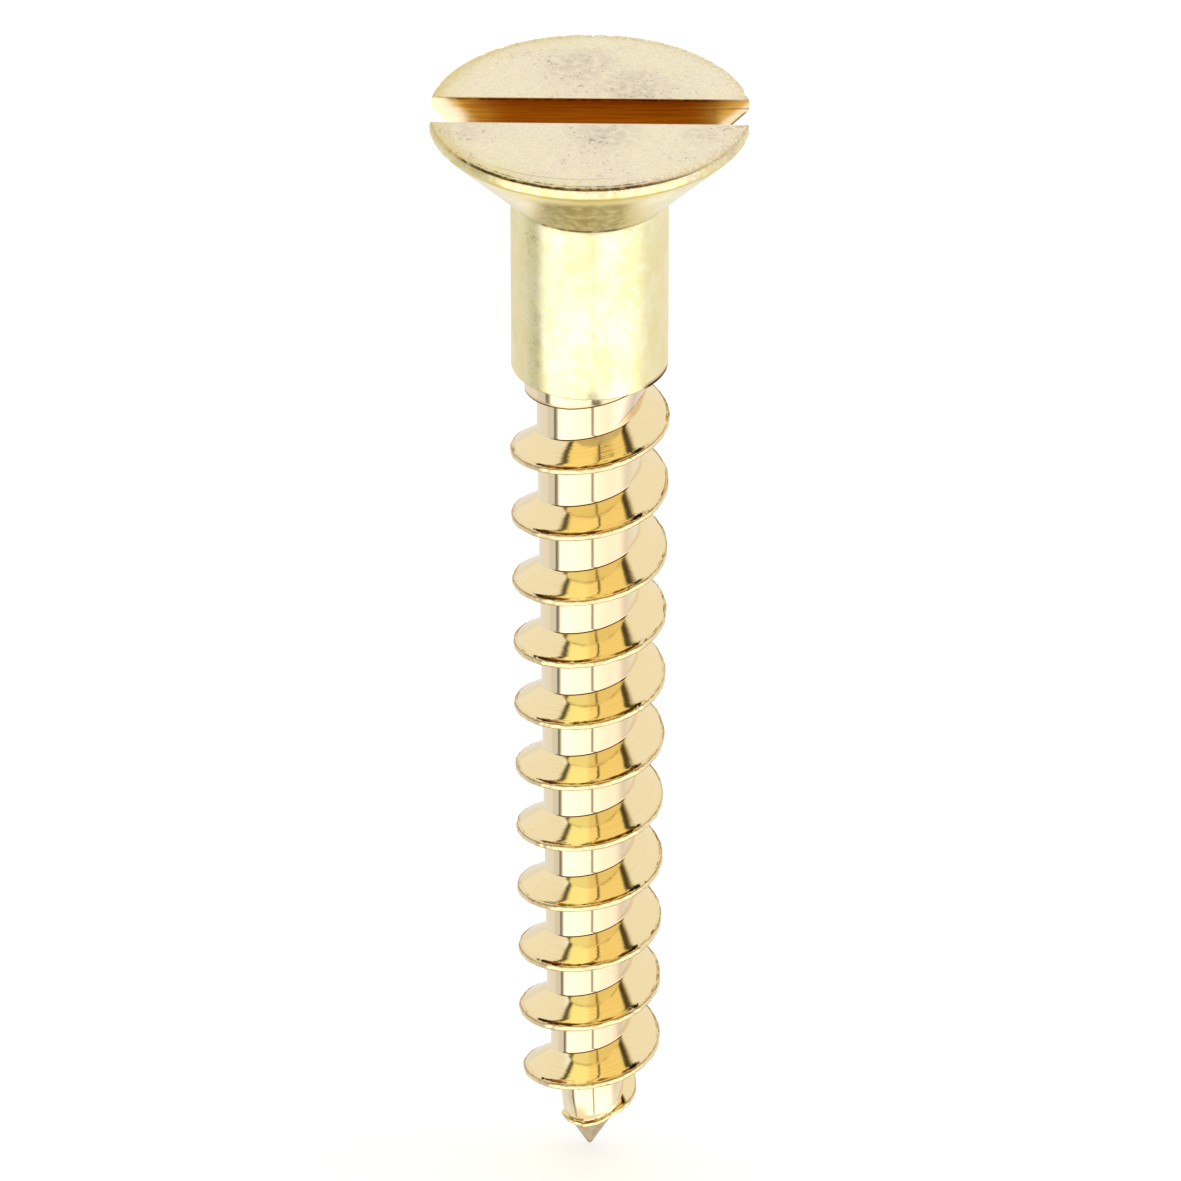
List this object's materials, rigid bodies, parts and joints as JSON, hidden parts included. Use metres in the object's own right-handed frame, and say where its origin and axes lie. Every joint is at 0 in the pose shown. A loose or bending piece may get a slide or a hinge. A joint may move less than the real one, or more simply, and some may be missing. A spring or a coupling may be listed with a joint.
{
  "type": "slotted countersunk wood screw",
  "caption": "Slotted countersunk wood screw in brass: flat head, short plain shank, coarse right-hand thread on a tapering core, and a cone point.",
  "frame": {"origin": "centre of the head's flat face, where the driver slot crosses the axis", "axes": "+Z along the screw's axis, out of the flat face towards the driver; the point hangs along -Z; +X along the driver slot"},
  "size_m": [0.0098, 0.0098, 0.0381],
  "materials": {
    "tumbled_brass": "tumbled satin, with fine scratches",
    "cut_brass": "bright, as cut by the threading tool"
  },
  "bodies": {
    "root": {"head": "tumbled_brass", "shank": "tumbled_brass", "thread": "cut_brass", "point": "cut_brass"}
  },
  "joints": []
}
